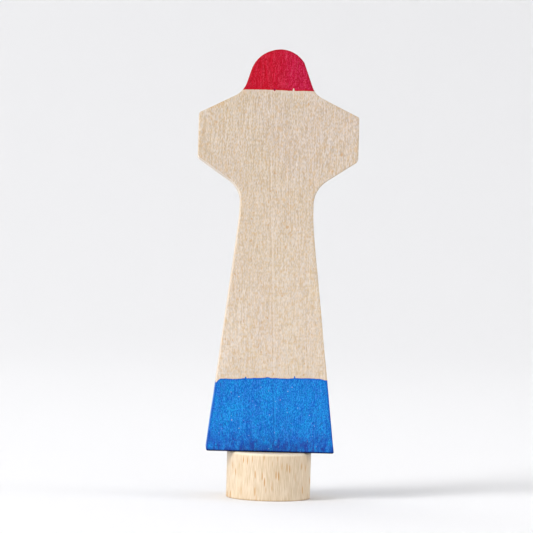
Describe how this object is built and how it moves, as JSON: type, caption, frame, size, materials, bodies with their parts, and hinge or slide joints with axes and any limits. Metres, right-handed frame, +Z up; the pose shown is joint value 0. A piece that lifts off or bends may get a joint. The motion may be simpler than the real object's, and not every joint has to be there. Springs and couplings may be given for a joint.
{
  "type": "wooden figure on a ring plug",
  "caption": "Flat sawn wooden figure with a domed red cap, angular arms and a flared blue-stained skirt, doweled on end to a short round plug.",
  "frame": {"origin": "middle of the plug's flat foot", "axes": "+Z up the plug's axis and the figure's height; X along the spread of the arms; the front face of the board looks along -Y"},
  "size_m": [0.034, 0.018, 0.0957],
  "materials": {
    "natural_board": "sanded and lightly oiled, pale fine-grained board",
    "red_stain": "red water stain on the cap of the same board, grain showing through; part of figure_board",
    "blue_stain": "blue water stain on the skirt of the same board, streaked along the grain; part of figure_board",
    "beech_plug": "turned and sanded beech with small brown flecks",
    "beech_pin": "fluted beech dowel, unfinished"
  },
  "bodies": {
    "root": {"figure_board": "natural_board", "plug": "beech_plug", "dowel_pin": "beech_pin"}
  },
  "joints": []
}
